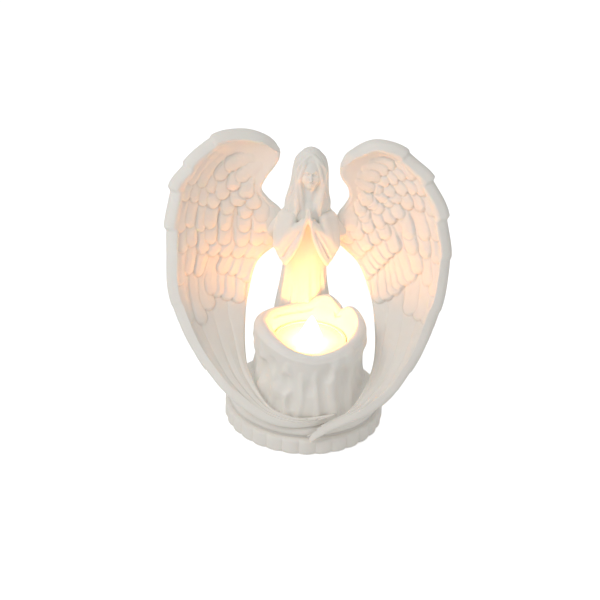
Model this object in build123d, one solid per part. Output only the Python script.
from build123d import *
import os
from math import cos, radians, sin

# Praying angel with wings around a melted candle cup that holds an LED tea light.
# Millimetres. Origin at the centre of the underside, +Z up, the angel faces -Y.

# ---------------------------------------------------------------- driving sizes
# Overall build
FIT = 0.15              # clearance of a peg in its socket, on radius
RUN = 0.30              # clearance between pieces that move past each other
OVER = 1.0              # how far a cutter reaches past the surface it opens
BITE = 0.2              # how far two joined solids run into each other

# Plinth
FOOT_R = 43.0           # tip of a flute
FLUTE_COUNT = 30
FLUTE_DEPTH = 0.9       # from tip to valley
FOOT_H = 9.2            # top of the fluted foot
FOOT_EDGE_R = 1.0       # rounding of the foot's top edge
GROOVE_INSET = 2.8      # groove behind the flute tips
GROOVE_H = 0.9
TIER_INSET = 1.8        # fullest part of the tier behind the flute tips
TIER_H = 7.3            # rounded tier above the foot
TIER_EDGE = 5.0         # rounded edge outside the tier's flat top
TIER_TUCK = 0.55        # inward slope where the tier meets the groove
PAD_INSET = 6.0
PAD_T = 1.2
PAD_PROUD = 0.5         # how far the pad lifts the plinth off the table
GROOVE_R = FOOT_R - GROOVE_INSET
TIER_R = FOOT_R - TIER_INSET
TIER_FLAT_R = TIER_R - TIER_EDGE
PAD_R = FOOT_R - PAD_INSET
PLINTH_H = FOOT_H + TIER_H

# LED tea light
LIGHT_R = 19.0
LIGHT_H = 18.0
LIGHT_GAP = 0.9         # radial room round the tea light in the cup
LIGHT_SINK = 10.5       # top of the tea light below the cup's rim
LIGHT_SEAT_GAP = 0.2
WALL = 1.0
SNAP = 0.05             # base plate and carrier inside the shell, on radius
DECK_DROP = 2.6         # how far the dished deck lies below the shell's edge
DECK_T = 1.2
DECK_FLAT = 1.0         # flat round the flame before the deck rises
SHELL_EDGE_R = 0.45
SHELL_BRIM = 0.6        # flat of the shell's rim inside its wall, and its height over the dish
FLAME_HOLE_R = 6.2
FLAME_GAP = 0.35        # flame in the hole of the deck, on radius
FLAME_H = 15.5          # flame above the deck
FLAME_FOOT = 1.6        # width of the foot ring under the deck
FLAME_WALL = 1.0
FLAME_BELLY = 0.1       # the flame is fullest up to this share of its height
FLAME_SIDE = (0.4, 0.9) # a place on its side: share of the height, how far in from the belly
FLAME_NECK = (2.0, 0.9) # and near the tip: how far below the tip, radius there
FLAME_INSIDE = (0.36, 1.4)  # the same place on the inside
FLAME_INSIDE_TOP = 0.55 # the hollow ends at this share of the height
BASE_T = 1.6
BASE_RECESS = 0.8       # base plate set up inside the shell
POST_R = 1.6
POST_ANGLES = (205, 335)
CELL_R = 10.0
CELL_T = 3.2
CELL_Y = 3.2            # the cell and its door sit behind the centre
CELL_GAP = 0.3
CELL_EDGE_R = 0.4
CARRIER_T = 1.2
CLIP_HALF_W = 2.0
CLIP_FOOT = 2.2         # length of the clip's foot under the lid
CLIP_GAP = 0.05         # clip off the cell's edge
LEAF_HALF_L = 6.0       # leaf spring on the cell, from its middle
LEAF_DIMPLE = 4.0       # contact dimple behind the leaf's middle
CONTACT_SPACE = 0.15    # leaf kept clear of the other leg
DOOR_MARGIN = 1.0       # door wider than the cell, on radius
DOOR_GAP = 0.15
DOOR_LUG = 1.1          # how far a lug reaches past the door's edge
LUG_T = 0.8
LUG_ARC = 24.0          # degrees
LUG_COUNT = 3
LUG_NOTCH = 4.0         # notch in the plate wider than a lug, degrees
LUG_ROOT = 3.0          # how far a lug starts inside the door's edge
LUG_LIFT = 0.1          # lug above the plate it turns over
DOOR_TURN = 35.0        # degrees from locked to free
COIN_SLOT_L = 13.0
COIN_SLOT_W = 1.6
COIN_SLOT_D = 0.8
SWITCH_W = 3.0          # knob, along its travel
SWITCH_D = 2.0          # knob, across its travel
SWITCH_FLANGE = 0.9     # flange past the knob on each side
SWITCH_FLANGE_T = 0.95
SWITCH_TRAVEL = 3.0
SWITCH_INSET = 5.4      # slot's centre line in from the shell's outside
LED_R = 2.5
LED_H = 8.6
LED_FLANGE_R = 2.9
LED_FLANGE_T = 1.0
LED_SUNK = 0.5          # LED's foot let into the carrier
LEAD = 0.5
LEAD_PITCH = 2.54
LEAD_PROUD = 0.15       # the legs end this far below the carrier's lid
CONTACT_T = 0.3

# Candle cup: it is wide enough for the tea light, and the tea light sets its mouth
CUP_X = 1.0
CUP_Y = -8.0
CUP_H = 61.5            # top of the rim above the table
MOUTH_FLARE = 2.6       # mouth wider than the bore, on radius
RIM_WALL = 6.7          # mouth to the outside of the rim
CUP_LIP = 3.2           # width of the rounded lip
BULGE = 0.4             # bulge near the foot past the rim
WAIST = 2.4             # waist inside the rim
WAIST_H = 23.5          # waist above the plinth
BULGE_H = 5.0           # bulge above the plinth
MELT_DIP = 7.0          # depth of the melted dip at the front of the rim
MELT_DIP_R = 19.0
LUMP_R = 5.6
LIP_INNER = 0.4         # inner edge of the lip below the rim, as a share of the lip
MOUTH_START = 1.5       # the mouth starts to flare this far above the tea light
LUMPS = ((50, 0.0), (168, 3.5), (15, 2.5))  # (angle, how far below the rim)
BORE_R = LIGHT_R + LIGHT_GAP
CUP_MOUTH_R = BORE_R + MOUTH_FLARE
CUP_RIM_R = CUP_MOUTH_R + RIM_WALL
CUP_BULGE_R = CUP_RIM_R + BULGE
CUP_WAIST_R = CUP_RIM_R - WAIST
LIGHT_FLOOR = CUP_H - LIGHT_SINK - LIGHT_H

# Figure: it stands behind the cup, and its parts hang from the shoulder height
ANGEL_X = -1.6
ANGEL_GAP = 4.4         # figure's axis behind the cup's wall
HEM_RX, HEM_RY = 16.5, 9.0
SKIRT_SLIM = (0.8, 0.3) # skirt halfway up, inside the hem
BODICE_SPREAD = (1.2, 0.4)  # bodice past the waist, halfway to the shoulders
COLLAR_SLIM = (1.0, 1.2)    # seat of the head inside the hair
WAIST_RX, WAIST_RY = 12.2, 7.6
WAIST_DROP = 30.0       # waist below the shoulders
SHOULDER_RX, SHOULDER_RY = 15.2, 8.2
SHOULDER_Z = 106.0
NECK_RISE = 9.0         # the flat that the head sits on, above the shoulders
NECK_R = 3.6
NECK_H = 9.0
HEAD_H = 31.6
HEAD_RX, HEAD_RY = 9.2, 9.4
HAIR_RX, HAIR_RY = 12.4, 8.6
HEAD_FORWARD = (0.6, -1.0)  # head's middle off the figure's axis
NECK_RING = (0.18, 2.0) # hair beside the chin: share of the height, how far in
CROWN_RINGS = ((0.5, 0.0, 0.0), (0.78, 1.4, 1.0), (0.94, 4.6, 4.2))  # share, how far in
CROWN_TIP_R = 1.0
CHEST_DEPTH = 6.6       # flat on the chest in front of the figure's axis
ARM_DEPTH = 6.2
CUFF_HALF_W = 16.6
CUFF_DROP = 25.5        # lowest point of a sleeve below the shoulders
ELBOW_DROP = 14.0
HANDS_RISE = 5.5
HANDS_HALF_W = 3.4
ARM_PEG_R = 2.0
ARM_PEG_L = 5.0
ARM_PEG_BITE = 0.5
ARM_CORNER_R = 1.4
ARM_FRONT_R = 1.2
ARM_SLOPE_HALF_W = 12.0 # where a sleeve's upper and lower edges bend
ARM_SLOPE_RISE = 8.0    # that bend above the elbow
CUFF_SIDE_H = 5.0       # straight outer side of a cuff
CUFF_SPLIT_H = 16.0     # the sleeves part this far above the cuffs
ANGEL_Y = CUP_Y + CUP_BULGE_R + ANGEL_GAP
WAIST_Z = SHOULDER_Z - WAIST_DROP
NECK_SEAT_Z = SHOULDER_Z + NECK_RISE
HEAD_TOP_Z = NECK_SEAT_Z + HEAD_H
ARM_SEAT_Y = ANGEL_Y - CHEST_DEPTH
ARM_FRONT_Y = ARM_SEAT_Y - ARM_DEPTH
CUFF_Z = SHOULDER_Z - CUFF_DROP
ELBOW_Z = SHOULDER_Z - ELBOW_DROP
HANDS_Z = SHOULDER_Z + HANDS_RISE

# Wings. Heights are shares: 0 at the plinth's top, 1 at the shoulder, 2 at the crest.
# A leading edge is (angle about the cup, share of the reach past the cup's wall, height).
# A trailing edge is (out from the shoulder's side, back from the figure's axis, height) at
# the top, and (angle about the cup, gap to the cup's wall, height) lower down. Then the crown.
WING_REACH = 73.0       # from the cup's axis to the widest part of the wings
WING_RISE = 48.0        # crest above the shoulder
WING_EDGE_T = 4.6       # thickness at the leading edge
WING_TRAIL_T = 2.8      # thickness at the trailing edge
TENON_W, TENON_D, TENON_H = 7.0, 5.0, 12.0
TENON_DROP = 5.0        # middle of the tenon below the shoulders
TENON_INSET = 1.0
LEFT_TOP = [
    ((1.4, -6.0, 1.72), (54, 0.08, 1.81), 0.2),
    ((4.0, -5.0, 1.60), (42, 0.18, 1.95), 1.4),
    ((8.3, -3.6, 1.45), (29, 0.40, 2.00), 3.2),
    ((10.4, -2.6, 1.31), (20, 0.63, 1.91), 5.0),
    ((5.8, -1.6, 1.18), (13, 0.83, 1.70), 6.8),
    ((-0.6, -1.0, 1.06), (8.5, 0.97, 1.45), 8.0),
    ((-1.2, -1.0, 0.94), (4.5, 1.00, 1.10), 8.0),
    ((-0.2, -1.0, 0.83), (1, 0.99, 0.89), 7.5),
]
LEFT_LOW = [
    ((46.5, 10.4, 0.715), (-2.5, 0.96, 0.70), 6.5),
    ((33.5, 8.3, 0.565), (-8, 0.845, 0.53), 5.0),
    ((23, 6.4, 0.46), (-14.5, 0.71, 0.385), 3.8),
    ((3.5, 3.7, 0.335), (-23, 0.575, 0.28), 2.4),
    ((-18, 2.8, 0.22), (-33.5, 0.465, 0.195), 1.2),
    ((-50, 3.4, 0.097), (-50.5, 0.315, 0.105), 0.6),
    ((-72, 2.9, 0.066), (-70, 0.205, 0.048), 0.4),
    ((-93.5, 2.5, 0.064), (-92.5, 0.125, 0.026), 0.3),
    ((-113, 3.6, 0.091), (-112.5, 0.13, 0.07), 0.2),
]
RIGHT_TOP = [
    ((-1.6, -6.0, 1.57), (62, 0.02, 1.67), 0.2),
    ((0.0, -5.0, 1.47), (52.5, 0.06, 1.80), 1.4),
    ((3.6, -3.6, 1.35), (36, 0.20, 1.93), 3.2),
    ((4.4, -2.6, 1.23), (24.5, 0.395, 1.87), 5.0),
    ((2.3, -1.6, 1.14), (16, 0.60, 1.68), 6.8),
    ((-1.0, -1.0, 1.04), (10, 0.755, 1.45), 8.0),
    ((-1.8, -1.0, 0.94), (5, 0.86, 1.10), 8.0),
    ((-0.8, -1.0, 0.84), (1.5, 0.89, 0.89), 7.5),
]
RIGHT_LOW = [
    ((49, 8.8, 0.72), (-2.5, 0.84, 0.70), 6.5),
    ((34, 8.2, 0.575), (-9, 0.73, 0.53), 5.0),
    ((22.5, 7.0, 0.465), (-15, 0.635, 0.39), 3.8),
    ((3.5, 4.7, 0.345), (-24, 0.53, 0.285), 2.4),
    ((-17.5, 3.7, 0.23), (-34, 0.445, 0.195), 1.2),
    ((-47, 4.8, 0.128), (-48, 0.35, 0.135), 0.6),
    ((-63.5, 7.3, 0.097), (-62, 0.285, 0.10), 0.4),
    ((-77, 6.1, 0.046), (-76, 0.22, 0.048), 0.3),
    ((-93, 5.0, -0.044), (-93, 0.16, -0.044), 0.2),
]


# ---------------------------------------------------------------- small helpers
def disc(radius, low, high, x=0.0, y=0.0):
    """An upright cylinder between two heights."""
    return Pos(x, y, (low + high) / 2) * Cylinder(radius, high - low)


def block(x0, x1, y0, y1, z0, z1):
    """A box between two corners."""
    centre = Pos((x0 + x1) / 2, (y0 + y1) / 2, (z0 + z1) / 2)
    return centre * Box(x1 - x0, y1 - y0, z1 - z0)


def turned(points, x=0.0, y=0.0):
    """A solid of revolution about the upright axis from (radius, height) points."""
    outline = Polyline(*[(r, 0, z) for r, z in points], close=True)
    return Pos(x, y, 0) * revolve(make_face(outline), Axis.Z)


def rings(sections):
    """A loft through upright-axis ellipses, each (x, y, z, rx, ry)."""
    faces = [Pos(x, y, z) * Ellipse(rx, ry).face() for x, y, z, rx, ry in sections]
    return loft(faces)


def biggest(shape):
    """The largest solid of a shape, so that a cut leaves one clean piece."""
    return max(shape.solids(), key=lambda s: s.volume)


def save(shape, node):
    export_step(shape, f"parts/{node}.step")


# ---------------------------------------------------------------- plinth
def fluted_outline():
    """Closed scalloped outline of the foot, one shallow arc for each flute."""
    half = 180.0 / FLUTE_COUNT
    valley = FOOT_R - FLUTE_DEPTH
    arcs = []
    for i in range(FLUTE_COUNT):
        mid = 2 * half * i
        points = []
        for radius, angle in ((valley, mid - half), (FOOT_R, mid), (valley, mid + half)):
            points.append((radius * cos(radians(angle)), radius * sin(radians(angle))))
        arcs.append(ThreePointArc(*points))
    return make_face(Wire(arcs))


def make_plinth():
    foot = extrude(Pos(0, 0, PAD_PROUD) * fluted_outline(), FOOT_H - PAD_PROUD)
    top_edges = foot.faces().sort_by(Axis.Z)[-1].edges()
    foot = fillet(top_edges, FOOT_EDGE_R)
    groove_top = FOOT_H + GROOVE_H
    mid_z = (groove_top + PLINTH_H) / 2
    with BuildPart() as tier:
        with BuildSketch(Plane.XZ):
            with BuildLine():
                Polyline((GROOVE_R, groove_top), (GROOVE_R, FOOT_H - OVER), (0, FOOT_H - OVER), (0, PLINTH_H),
                         (TIER_FLAT_R, PLINTH_H))
                Spline((TIER_FLAT_R, PLINTH_H), (TIER_R, mid_z), (GROOVE_R, groove_top),
                       tangents=[(1, 0), (-TIER_TUCK, -1)])
            make_face()
        revolve(axis=Axis.Z)
    pad_pocket = disc(PAD_R + FIT, 0, PAD_T)
    return biggest(foot + tier.part - pad_pocket)


def make_base_pad():
    return disc(PAD_R, 0, PAD_T)


# ---------------------------------------------------------------- candle cup
def cup_outer():
    """The outside of the melted candle, as a turned solid with no bore."""
    lip_in = CUP_RIM_R - 2 * CUP_LIP
    lip_low = CUP_H - CUP_LIP * LIP_INNER
    with BuildPart() as cup:
        with BuildSketch(Plane.XZ):
            with BuildLine():
                Polyline((lip_in, lip_low), (0, lip_low), (0, PLINTH_H), (CUP_RIM_R, PLINTH_H))
                Spline((CUP_RIM_R, PLINTH_H), (CUP_BULGE_R, PLINTH_H + BULGE_H),
                       (CUP_WAIST_R, PLINTH_H + WAIST_H), (CUP_RIM_R, CUP_H - CUP_LIP),
                       (CUP_RIM_R - CUP_LIP, CUP_H), (lip_in, lip_low))
            make_face()
        revolve(axis=Axis.Z)
    return Pos(CUP_X, CUP_Y, 0) * cup.part


def make_candle_cup():
    cup = cup_outer()
    ring = CUP_RIM_R - LUMP_R + BULGE
    for angle, drop in LUMPS:
        x = CUP_X + ring * cos(radians(angle))
        y = CUP_Y + ring * sin(radians(angle))
        cup += Pos(x, y, CUP_H - drop - LUMP_R / 3) * Sphere(LUMP_R)
    above = CUP_H + 2 * LUMP_R
    bore = turned([(0, LIGHT_FLOOR), (BORE_R, LIGHT_FLOOR), (BORE_R, LIGHT_FLOOR + LIGHT_H + MOUTH_START),
                   (CUP_MOUTH_R, CUP_H - OVER), (CUP_MOUTH_R, above), (0, above)], CUP_X, CUP_Y)
    dip_axis_z = CUP_H - MELT_DIP + MELT_DIP_R
    dip = Pos(CUP_X, CUP_Y - CUP_RIM_R, dip_axis_z) * Rot(90, 0, 0) * Cylinder(MELT_DIP_R, CUP_RIM_R)
    return biggest(cup - bore - dip)


# ---------------------------------------------------------------- figure
def figure_body():
    """Skirt, waist and shoulders as one smooth form."""
    x, y = ANGEL_X, ANGEL_Y
    return rings([
        (x, y, PLINTH_H, HEM_RX, HEM_RY),
        (x, y, (PLINTH_H + WAIST_Z) / 2, HEM_RX - SKIRT_SLIM[0], HEM_RY - SKIRT_SLIM[1]),
        (x, y, WAIST_Z, WAIST_RX, WAIST_RY),
        (x, y, (WAIST_Z + SHOULDER_Z) / 2, WAIST_RX + BODICE_SPREAD[0], WAIST_RY + BODICE_SPREAD[1]),
        (x, y, SHOULDER_Z, SHOULDER_RX, SHOULDER_RY),
        (x, y, NECK_SEAT_Z, HAIR_RX - COLLAR_SLIM[0], HAIR_RY - COLLAR_SLIM[1]),
    ])


def arm_peg(clearance):
    """Round peg on the back of the arms, a little inside them so that the two join."""
    z = (ELBOW_Z + HANDS_Z) / 2
    peg = Pos(ANGEL_X, ARM_SEAT_Y + ARM_PEG_L / 2 - ARM_PEG_BITE, z) * Rot(90, 0, 0)
    return peg * Cylinder(ARM_PEG_R + clearance, ARM_PEG_L + 2 * ARM_PEG_BITE + clearance)


def wing_tenon(side, clearance):
    """Rectangular tongue that keys a wing into the back of the shoulder."""
    x = ANGEL_X + side * (SHOULDER_RX - TENON_W / 2 - TENON_INSET)
    size = (TENON_W + 2 * clearance, TENON_D + 2 * clearance, TENON_H + 2 * clearance)
    return Pos(x, ANGEL_Y, SHOULDER_Z - TENON_DROP) * Box(*size)


def make_angel_robe(cup_solid):
    robe = figure_body() - cup_solid
    robe += disc(NECK_R, NECK_SEAT_Z - OVER, NECK_SEAT_Z + NECK_H, ANGEL_X, ANGEL_Y)
    seat_half = CUFF_HALF_W + 2 * OVER
    robe -= block(ANGEL_X - seat_half, ANGEL_X + seat_half, 0, ARM_SEAT_Y, CUFF_Z - OVER, HANDS_Z + OVER)
    robe -= arm_peg(FIT)
    robe -= wing_tenon(-1, FIT) + wing_tenon(1, FIT)
    return biggest(robe)


def make_angel_arms():
    """Two hanging sleeves that meet at the praying hands, from a front outline."""
    half_outline = [
        (HANDS_HALF_W, HANDS_Z),
        (ARM_SLOPE_HALF_W, ELBOW_Z + ARM_SLOPE_RISE),
        (CUFF_HALF_W, ELBOW_Z),
        (CUFF_HALF_W, CUFF_Z + CUFF_SIDE_H),
        (ARM_SLOPE_HALF_W, CUFF_Z),
    ]
    right = [(ANGEL_X + out, z) for out, z in half_outline]
    left = [(ANGEL_X - out, z) for out, z in reversed(half_outline)]
    with BuildPart() as arms:
        with BuildSketch(Plane.XZ.offset(-ARM_SEAT_Y)):
            with BuildLine():
                Polyline(*right, (ANGEL_X, CUFF_Z + CUFF_SPLIT_H), *left, close=True)
            make_face()
            fillet(vertices(), ARM_CORNER_R)
        extrude(amount=ARM_SEAT_Y - ARM_FRONT_Y)
        fillet(faces().sort_by(Axis.Y)[0].edges(), ARM_FRONT_R)
    return biggest(arms.part + arm_peg(0))


def make_angel_head():
    x, y = ANGEL_X + HEAD_FORWARD[0], ANGEL_Y + HEAD_FORWARD[1]
    share, slim = NECK_RING
    levels = [
        (ANGEL_X, ANGEL_Y, NECK_SEAT_Z, HAIR_RX, HAIR_RY),
        (ANGEL_X, ANGEL_Y, NECK_SEAT_Z + share * HEAD_H, HAIR_RX - slim, HAIR_RY),
    ]
    for share, slim_x, slim_y in CROWN_RINGS:
        levels.append((x, y, NECK_SEAT_Z + share * HEAD_H, HEAD_RX - slim_x, HEAD_RY - slim_y))
    head = rings(levels + [(x, y, HEAD_TOP_Z, CROWN_TIP_R, CROWN_TIP_R)])
    socket = disc(NECK_R + FIT, NECK_SEAT_Z - OVER, NECK_SEAT_Z + NECK_H + FIT, ANGEL_X, ANGEL_Y)
    return biggest(head - socket)


# ---------------------------------------------------------------- wings
def height(share):
    """Height of a wing station from its share."""
    if share > 1:
        return SHOULDER_Z + (share - 1) * WING_RISE
    return PLINTH_H + share * (SHOULDER_Z - PLINTH_H)


def about_cup(side, angle, radius, share):
    """A point at an angle and radius about the cup's axis, on one side."""
    x = CUP_X + side * radius * cos(radians(angle))
    return Vector(x, CUP_Y + radius * sin(radians(angle)), height(share))


def by_shoulder(side, out, back, share):
    """A point measured from the side of the shoulder."""
    return Vector(side * (SHOULDER_RX + out), ANGEL_Y + back, height(share))


def wing_section(trailing, leading, crown, back):
    """Closed section: hollow front arc, leading edge, full back arc, trailing edge."""
    middle = (trailing + leading) * 0.5
    trailing_back = trailing + back * WING_TRAIL_T
    leading_back = leading + back * WING_EDGE_T
    middle_back = (trailing_back + leading_back) * 0.5
    return Wire([
        ThreePointArc(trailing, middle + back * crown, leading),
        Line(leading, leading_back),
        ThreePointArc(leading_back, middle_back + back * crown, trailing_back),
        Line(trailing_back, trailing),
    ])


def make_wing(side, top, low):
    """A wing lofted from the crest, down past the shoulder, to its tip at the front."""
    trailing = [by_shoulder(side, *edge) for edge, _, _ in top]
    trailing += [about_cup(side, angle, CUP_BULGE_R + gap, share) for (angle, gap, share), _, _ in low]
    leading = []
    for _, (angle, share, rise), _ in top + low:
        radius = CUP_BULGE_R + share * (WING_REACH - CUP_BULGE_R)
        leading.append(about_cup(side, angle, radius, rise))
    crowns = [crown for _, _, crown in top + low]
    middles = [(a + b) * 0.5 for a, b in zip(trailing, leading)]
    last = len(middles) - 1
    faces = []
    for i in range(last + 1):
        along = middles[min(i + 1, last)] - middles[max(i - 1, 0)]
        back = (leading[i] - trailing[i]).cross(along).normalized() * side
        faces.append(Face(wing_section(trailing[i], leading[i], crowns[i], back)))
    return loft(faces)


# ---------------------------------------------------------------- LED tea light
# Modelled about its own axis at x 0, then moved to the cup's axis.
SHELL_Z = LIGHT_FLOOR + LIGHT_SEAT_GAP
SHELL_TOP = SHELL_Z + LIGHT_H
DECK_Z = SHELL_TOP - DECK_DROP
PLATE_Z = SHELL_Z + BASE_RECESS
PLATE_TOP = PLATE_Z + BASE_T
PLATE_R = LIGHT_R - WALL - SNAP
CELL_Z = PLATE_TOP + LUG_T + 2 * CELL_GAP
CELL_TOP = CELL_Z + CELL_T
CARRIER_Z = CELL_TOP + CONTACT_T + 2 * CELL_GAP
CARRIER_TOP = CARRIER_Z + CARRIER_T
POCKET_R = CELL_R + CELL_GAP
CELL_AT = CUP_Y + CELL_Y
POST_RING = PLATE_R - POST_R - RUN
DOOR_R = CELL_R + DOOR_MARGIN
LUG_R = DOOR_R + DOOR_LUG
HOLE_R = DOOR_R + DOOR_GAP
SWITCH_AT = CUP_Y - LIGHT_R + SWITCH_INSET
SWITCH_X = -SWITCH_TRAVEL / 2


def make_tealight_shell():
    outer = disc(LIGHT_R, SHELL_Z, SHELL_TOP, 0, CUP_Y)
    outer = fillet(outer.edges().group_by(Axis.Z)[-1], SHELL_EDGE_R)
    inner = disc(LIGHT_R - WALL, SHELL_Z - OVER, DECK_Z - DECK_T, 0, CUP_Y)
    dish_r = LIGHT_R - WALL - SHELL_BRIM
    dish = turned([(0, DECK_Z), (FLAME_HOLE_R + DECK_FLAT, DECK_Z), (dish_r, SHELL_TOP - SHELL_BRIM),
                   (dish_r, SHELL_TOP + OVER), (0, SHELL_TOP + OVER)], 0, CUP_Y)
    hole = disc(FLAME_HOLE_R, DECK_Z - DECK_T - OVER, DECK_Z + OVER, 0, CUP_Y)
    return biggest(outer - inner - dish - hole)


def sector(inner, outer, low, high, centre, arc, x, y):
    """A piece of a ring, centred on an angle and arc degrees wide."""
    far = outer * 1.5
    corners = [(0, 0)]
    for angle in (centre - arc / 2, centre + arc / 2):
        corners.append((far * cos(radians(angle)), far * sin(radians(angle))))
    wedge = make_face(Polyline(*corners, close=True))
    ring = Circle(outer) - Circle(inner)
    return Pos(x, y, low) * extrude(ring & wedge, high - low)


def make_tealight_base():
    """Bottom plate: hatch opening with notches for the lugs, switch slot, two posts."""
    under, over = PLATE_Z - OVER, PLATE_TOP + OVER
    plate = disc(PLATE_R, PLATE_Z, PLATE_TOP, 0, CUP_Y)
    plate -= disc(HOLE_R, under, over, 0, CELL_AT)
    for i in range(LUG_COUNT):
        angle = 90 + DOOR_TURN + i * 360 / LUG_COUNT
        plate -= sector(DOOR_R - OVER, LUG_R + RUN, under, over, angle, LUG_ARC + LUG_NOTCH, 0, CELL_AT)
    slot_x = (SWITCH_W + SWITCH_TRAVEL) / 2 + RUN
    slot_y = SWITCH_D / 2 + DOOR_GAP
    plate -= block(-slot_x, slot_x, SWITCH_AT - slot_y, SWITCH_AT + slot_y, under, over)
    for angle in POST_ANGLES:
        x = POST_RING * cos(radians(angle))
        y = CUP_Y + POST_RING * sin(radians(angle))
        plate += disc(POST_R, PLATE_TOP - BITE, CARRIER_Z, x, y)
    return biggest(plate)


def make_battery_carrier():
    """Lid over the cell with a collar round it, open at the front for the clip."""
    lid = disc(PLATE_R, CARRIER_Z, CARRIER_TOP, 0, CUP_Y)
    collar = disc(POCKET_R + WALL, CELL_Z + CELL_GAP, CARRIER_Z + BITE, 0, CELL_AT)
    body = (lid + collar) - disc(POCKET_R, CELL_Z - OVER, CARRIER_Z, 0, CELL_AT)
    clip_half = CLIP_HALF_W + FIT
    front = CELL_AT - POCKET_R - WALL - OVER
    body -= block(-clip_half, clip_half, front, CELL_AT - CELL_R + 2 * OVER, CELL_Z, CARRIER_Z)
    for x in (-LEAD_PITCH / 2, LEAD_PITCH / 2):
        hole = LEAD / 2 + FIT
        body -= block(x - hole, x + hole, CUP_Y - hole, CUP_Y + hole, CARRIER_Z - OVER, CARRIER_TOP + OVER)
    body -= disc(LED_FLANGE_R + FIT, CARRIER_TOP - LED_SUNK, CARRIER_TOP + OVER, 0, CUP_Y)
    return biggest(body)


def make_battery_door():
    """Round hatch with lugs that turn over the plate, and a slot for a coin."""
    lug_z = PLATE_TOP + LUG_LIFT
    door = disc(DOOR_R, PLATE_Z, lug_z + SNAP, 0, CELL_AT)
    for i in range(LUG_COUNT):
        angle = 90 + i * 360 / LUG_COUNT
        door += sector(DOOR_R - LUG_ROOT, LUG_R, lug_z, lug_z + LUG_T, angle, LUG_ARC, 0, CELL_AT)
    slot = block(-COIN_SLOT_L / 2, COIN_SLOT_L / 2, CELL_AT - COIN_SLOT_W / 2, CELL_AT + COIN_SLOT_W / 2,
                 PLATE_Z - OVER, PLATE_Z + COIN_SLOT_D)
    return biggest(door - slot)


def make_coin_cell():
    cell = disc(CELL_R, CELL_Z, CELL_TOP, 0, CELL_AT)
    return fillet(cell.edges().group_by(Axis.Z)[-1], CELL_EDGE_R)


def make_contact_positive():
    """Clip beside the cell: a foot under the lid and a leg down the cell's edge."""
    y0 = CELL_AT - CELL_R - CLIP_GAP
    half = CLIP_HALF_W
    leg = block(-half, half, y0 - CONTACT_T, y0, CELL_Z + CELL_GAP, CARRIER_Z)
    foot = block(-half, half, y0 - CLIP_FOOT, y0, CARRIER_Z - CONTACT_T, CARRIER_Z)
    x = LEAD_PITCH / 2
    low = CARRIER_Z - LEAD_PROUD - CONTACT_T
    arm = block(x - LEAD / 2, x + LEAD / 2, y0 - OVER, CUP_Y + LEAD, low, low + CONTACT_T)
    return biggest(leg + foot + arm)


def make_contact_negative():
    """Leaf on top of the cell, under the carrier's lid."""
    top = CARRIER_Z
    half = LEAD_PITCH / 2 - LEAD / 2 - CONTACT_SPACE
    plate = block(-half, half, CELL_AT - LEAF_HALF_L, CELL_AT + LEAF_HALF_L, top - CONTACT_T, top)
    dimple = disc(half - SNAP, CELL_TOP, top - CONTACT_T / 3, 0, CELL_AT + LEAF_DIMPLE)
    low = top - LEAD_PROUD - CONTACT_T
    tab = block(-LEAD_PITCH / 2 - LEAD / 2, 0, CUP_Y - LEAD, CUP_Y + LEAD, low, low + CONTACT_T)
    return biggest(plate + dimple + tab)


def make_led_bulb():
    foot_z = CARRIER_TOP - LED_SUNK
    body = disc(LED_R, foot_z, foot_z + LED_H - LED_R, 0, CUP_Y)
    body += disc(LED_FLANGE_R, foot_z, foot_z + LED_FLANGE_T, 0, CUP_Y)
    return body + Pos(0, CUP_Y, foot_z + LED_H - LED_R) * Sphere(LED_R)


def make_led_leads():
    """Two straight legs from the LED down through the carrier's lid."""
    leg = block(-LEAD / 2, LEAD / 2, CUP_Y - LEAD / 2, CUP_Y + LEAD / 2,
                CARRIER_Z - LEAD_PROUD, CARRIER_TOP - LED_SUNK)
    return Pos(-LEAD_PITCH / 2, 0, 0) * leg + Pos(LEAD_PITCH / 2, 0, 0) * leg


def make_flame_lens():
    """Hollow flame: a foot ring under the deck, a belly and a pointed tip."""
    under = DECK_Z - DECK_T - SNAP
    tip = DECK_Z + FLAME_H
    belly = FLAME_HOLE_R - FLAME_GAP
    foot_r = belly + FLAME_FOOT
    shoulder = DECK_Z + FLAME_BELLY * FLAME_H
    side_share, side_in = FLAME_SIDE
    neck_drop, neck_r = FLAME_NECK
    with BuildPart() as flame:
        with BuildSketch(Plane.XZ):
            with BuildLine():
                Polyline((0, tip), (0, under - DECK_T), (foot_r, under - DECK_T), (foot_r, under),
                         (belly, under), (belly, shoulder))
                Spline((belly, shoulder), (belly - side_in, DECK_Z + side_share * FLAME_H),
                       (neck_r, tip - neck_drop), (0, tip))
            make_face()
        revolve(axis=Axis.Z)
    inside_r = belly - FLAME_WALL
    hollow_share, hollow_in = FLAME_INSIDE
    hollow = turned([(0, under - 2 * DECK_T), (inside_r, under - 2 * DECK_T), (inside_r, shoulder),
                     (inside_r - hollow_in, DECK_Z + hollow_share * FLAME_H),
                     (0, DECK_Z + FLAME_INSIDE_TOP * FLAME_H)])
    return biggest(Pos(0, CUP_Y, 0) * (flame.part - hollow))


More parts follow.
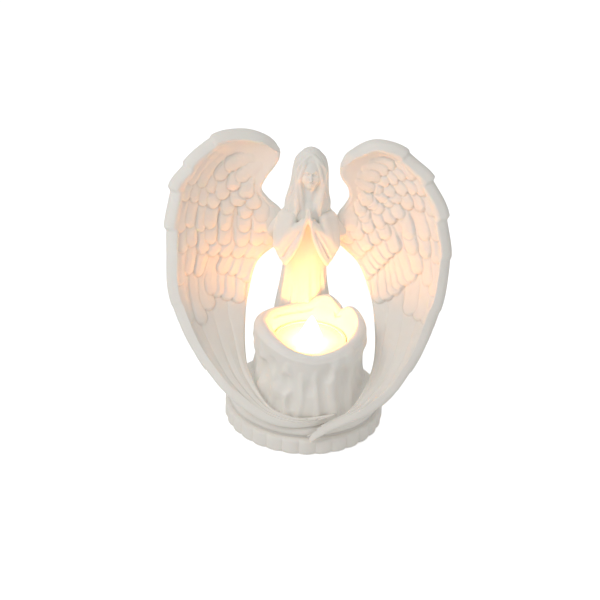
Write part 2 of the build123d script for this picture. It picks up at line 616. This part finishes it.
def make_switch_slider():
    """Knob in the plate's slot under a wider flange that runs on the plate."""
    knob = Pos(SWITCH_X, SWITCH_AT) * block(-SWITCH_W / 2, SWITCH_W / 2, -SWITCH_D / 2, SWITCH_D / 2,
                                            SHELL_Z + RUN, PLATE_TOP + RUN)
    half_x = SWITCH_W / 2 + SWITCH_FLANGE / 2
    half_y = SWITCH_D / 2 + SWITCH_FLANGE
    low = PLATE_TOP + DOOR_GAP
    flange = Pos(SWITCH_X, SWITCH_AT) * block(-half_x, half_x, -half_y, half_y, low, low + SWITCH_FLANGE_T)
    return biggest(knob + flange)


def make_switch_bridge():
    """Small metal bridge on top of the slider."""
    low = PLATE_TOP + DOOR_GAP + SWITCH_FLANGE_T
    return Pos(SWITCH_X, SWITCH_AT) * block(-SWITCH_W / 2, SWITCH_W / 2, -SWITCH_D / 2, SWITCH_D / 2,
                                            low, low + CONTACT_T)


# ---------------------------------------------------------------- build and write
def main():
    os.makedirs("parts", exist_ok=True)
    plinth = make_plinth()
    robe = make_angel_robe(cup_outer())
    wing_left = make_wing(-1, LEFT_TOP, LEFT_LOW) + wing_tenon(-1, 0)
    wing_left = biggest(wing_left - robe - plinth)
    wing_right = make_wing(1, RIGHT_TOP, RIGHT_LOW) + wing_tenon(1, 0)
    wing_right = biggest(wing_right - robe - plinth - wing_left)
    save(plinth, "plinth")
    save(make_base_pad(), "base_pad")
    save(make_candle_cup(), "candle_cup")
    save(robe, "angel_robe")
    save(make_angel_arms(), "angel_arms")
    save(make_angel_head(), "angel_head")
    save(wing_left, "wing_left")
    save(wing_right, "wing_right")
    light = {
        "tealight_shell": make_tealight_shell(),
        "tealight_base": make_tealight_base(),
        "battery_carrier": make_battery_carrier(),
        "battery_door": make_battery_door(),
        "coin_cell": make_coin_cell(),
        "contact_positive": make_contact_positive(),
        "contact_negative": make_contact_negative(),
        "led_bulb": make_led_bulb(),
        "led_leads": make_led_leads(),
        "flame_lens": make_flame_lens(),
        "switch_slider": make_switch_slider(),
        "switch_bridge": make_switch_bridge(),
    }
    for node, shape in light.items():
        save(Pos(CUP_X, 0, 0) * shape, node)


main()
